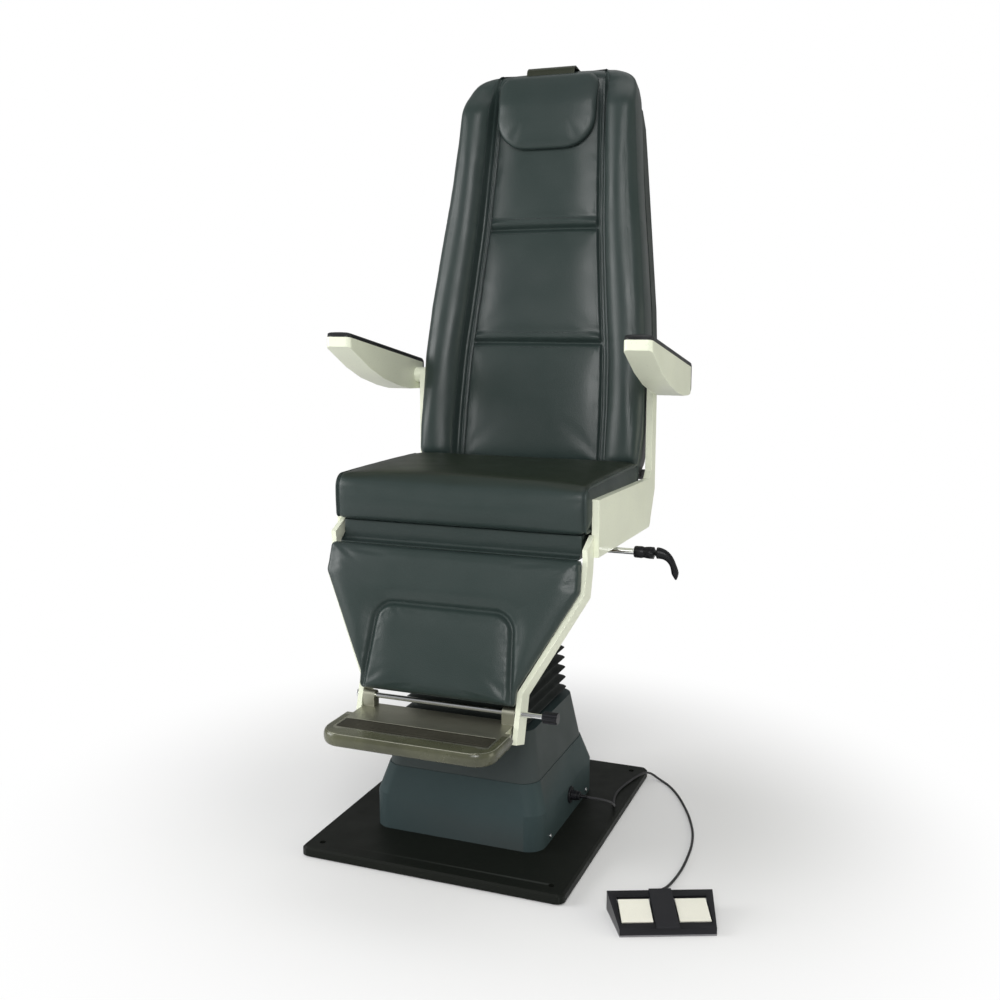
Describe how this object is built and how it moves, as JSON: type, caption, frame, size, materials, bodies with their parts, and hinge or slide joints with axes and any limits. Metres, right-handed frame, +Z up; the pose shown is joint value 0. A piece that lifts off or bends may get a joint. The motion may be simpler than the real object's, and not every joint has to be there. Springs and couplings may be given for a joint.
{
  "type": "ophthalmic examination chair",
  "caption": "Examination chair with a lifting, swivelling pedestal, reclining padded back, sliding headrest, flip-up arms, leg rest, folding footrest and foot switch on a lead.",
  "frame": {"origin": "on the floor, on the axis of the lift column", "axes": "+Z up along the lift column; the sitter faces -Y and the sitter's left is +X"},
  "size_m": [0.8834, 0.9164, 1.5829],
  "materials": {
    "base_black": "matt black powder coat",
    "cover_black": "matt black moulding with a fine grain",
    "bellows_black": "soft black folded skin",
    "rubber_black": "black rubber",
    "mat_dark": "dark ribbed rubber",
    "steel": "bright machined steel",
    "chrome": "polished chrome plate",
    "brass": "plain bronze and brass",
    "aluminium": "cast aluminium, brushed top",
    "grey_paint": "grey machine paint",
    "frame_black": "satin black powder coat",
    "ivory_paint": "smooth ivory enamel",
    "pedal_ivory": "ivory moulding",
    "plastic_black": "satin black moulding",
    "plastic_grey": "grey moulding",
    "cable_black": "black sheath",
    "plywood": "birch plywood, unfinished",
    "vinyl_dark": "blue-black grained vinyl over foam",
    "strap_vinyl": "blue-black vinyl strap",
    "arm_pad_black": "black self-skinned foam"
  },
  "bodies": {
    "base": {"floor_pad": "rubber_black", "base_plate": "base_black", "pedestal_skirt": "cover_black", "pedestal_shroud": "cover_black", "cover_screws": "steel", "lift_cylinder": "grey_paint", "guide_bush": "brass", "cylinder_bolts": "steel", "pump_block": "aluminium", "pump_motor": "grey_paint", "oil_tank": "grey_paint", "pressure_pipe": "brass", "control_box": "plastic_grey", "mains_inlet": "plastic_black", "switch_socket": "plastic_black", "switch_plug": "plastic_black", "switch_lead": "cable_black", "switch_housing": "plastic_black", "switch_floor": "plastic_grey", "switch_contacts": "brass", "bellows": "bellows_black"},
    "power_rocker": {"power_rocker": "plastic_black"},
    "pedal_up": {"pedal_up": "pedal_ivory"},
    "pedal_down": {"pedal_down": "pedal_ivory"},
    "lift": {"lift_ram": "chrome", "ram_head": "steel", "bellows_frame": "frame_black", "thrust_bearing": "steel"},
    "seat": {"swivel_hub": "steel", "seat_frame": "frame_black", "seat_pan": "plywood", "seat_cushion": "vinyl_dark", "side_panel_left": "ivory_paint", "side_panel_right": "ivory_paint", "pivot_pins": "chrome", "knee_strip": "vinyl_dark", "leg_board": "plywood", "leg_pad": "vinyl_dark", "leg_rail_left": "ivory_paint", "leg_rail_right": "ivory_paint", "foot_pin": "chrome", "brake_guide": "grey_paint", "gas_cylinder": "frame_black"},
    "foot_knob": {"foot_knob": "plastic_black"},
    "footrest": {"footrest_casting": "aluminium", "footrest_mat": "mat_dark"},
    "brake_shoe": {"brake_shoe": "rubber_black"},
    "lock_lever": {"lock_shaft": "chrome", "lock_handle": "plastic_black"},
    "gas_rod": {"gas_rod": "chrome"},
    "backrest": {"back_frame": "frame_black", "back_board": "plywood", "back_shell": "cover_black", "back_cushion": "vinyl_dark"},
    "headrest": {"head_strap": "strap_vinyl", "head_cushion": "vinyl_dark"},
    "arm_left": {"arm_left": "ivory_paint", "arm_pad_left": "arm_pad_black"},
    "arm_right": {"arm_right": "ivory_paint", "arm_pad_right": "arm_pad_black"}
  },
  "joints": [
    {"name": "seat_lift", "type": "slide", "parent": "base", "child": "lift", "axis": [0, 0, 1], "range_m": [-0.18, 0.02], "deforming": ["bellows"]},
    {"name": "seat_swivel", "type": "hinge", "parent": "lift", "child": "seat", "pos_m": [0, 0, 0.6], "axis": [0, 0, 1], "continuous": true},
    {"name": "back_recline", "type": "hinge", "parent": "seat", "child": "backrest", "pos_m": [0, 0.24, 0.65], "axis": [-1, 0, 0], "range_deg": [0, 55]},
    {"name": "gas_spring_stroke", "type": "slide", "parent": "seat", "child": "gas_rod", "axis": [0, -1, 0], "range_m": [0, 0.0695]},
    {"name": "headrest_height", "type": "slide", "parent": "backrest", "child": "headrest", "axis": [0, 0.1633, 0.9866], "range_m": [0, 0.11]},
    {"name": "arm_left_flip", "type": "hinge", "parent": "seat", "child": "arm_left", "pos_m": [0.3, 0.279, 0.902], "axis": [-1, 0, 0], "range_deg": [0, 100]},
    {"name": "arm_right_flip", "type": "hinge", "parent": "seat", "child": "arm_right", "pos_m": [-0.3, 0.279, 0.902], "axis": [-1, 0, 0], "range_deg": [0, 100]},
    {"name": "footrest_fold", "type": "hinge", "parent": "seat", "child": "footrest", "pos_m": [0, -0.24724, 0.32319], "axis": [-1, 0, 0], "range_deg": [0, 75]},
    {"name": "foot_knob_turn", "type": "hinge", "parent": "seat", "child": "foot_knob", "pos_m": [0.22, -0.24724, 0.32319], "axis": [1, 0, 0], "range_deg": [0, 180]},
    {"name": "swivel_lock", "type": "hinge", "parent": "seat", "child": "lock_lever", "pos_m": [0.2, 0, 0.587], "axis": [-1, 0, 0], "range_deg": [0, 70]},
    {"name": "brake_shoe_slide", "type": "slide", "parent": "seat", "child": "brake_shoe", "axis": [1, 0, 0], "range_m": [0, 0.0012]},
    {"name": "pedal_up_press", "type": "hinge", "parent": "base", "child": "pedal_up", "pos_m": [0.43762, -0.27491, 0.02774], "axis": [0.9205, 0.3907, 0], "range_deg": [0, 7], "stiffness_Nm_per_rad": 8, "springref_deg": -2.29},
    {"name": "pedal_down_press", "type": "hinge", "parent": "base", "child": "pedal_down", "pos_m": [0.43762, -0.27491, 0.02774], "axis": [0.9205, 0.3907, 0], "range_deg": [0, 7], "stiffness_Nm_per_rad": 8, "springref_deg": -2.29},
    {"name": "power_rocker_tilt", "type": "hinge", "parent": "base", "child": "power_rocker", "pos_m": [-0.02, 0.176, 0.062], "axis": [1, 0, 0], "range_deg": [0, 10]}
  ],
  "couplings": [
    {"joint": "gas_spring_stroke", "follows": "back_recline", "m_per_rad": 0.07215},
    {"joint": "brake_shoe_slide", "follows": "swivel_lock", "m_per_rad": 0.000982}
  ]
}
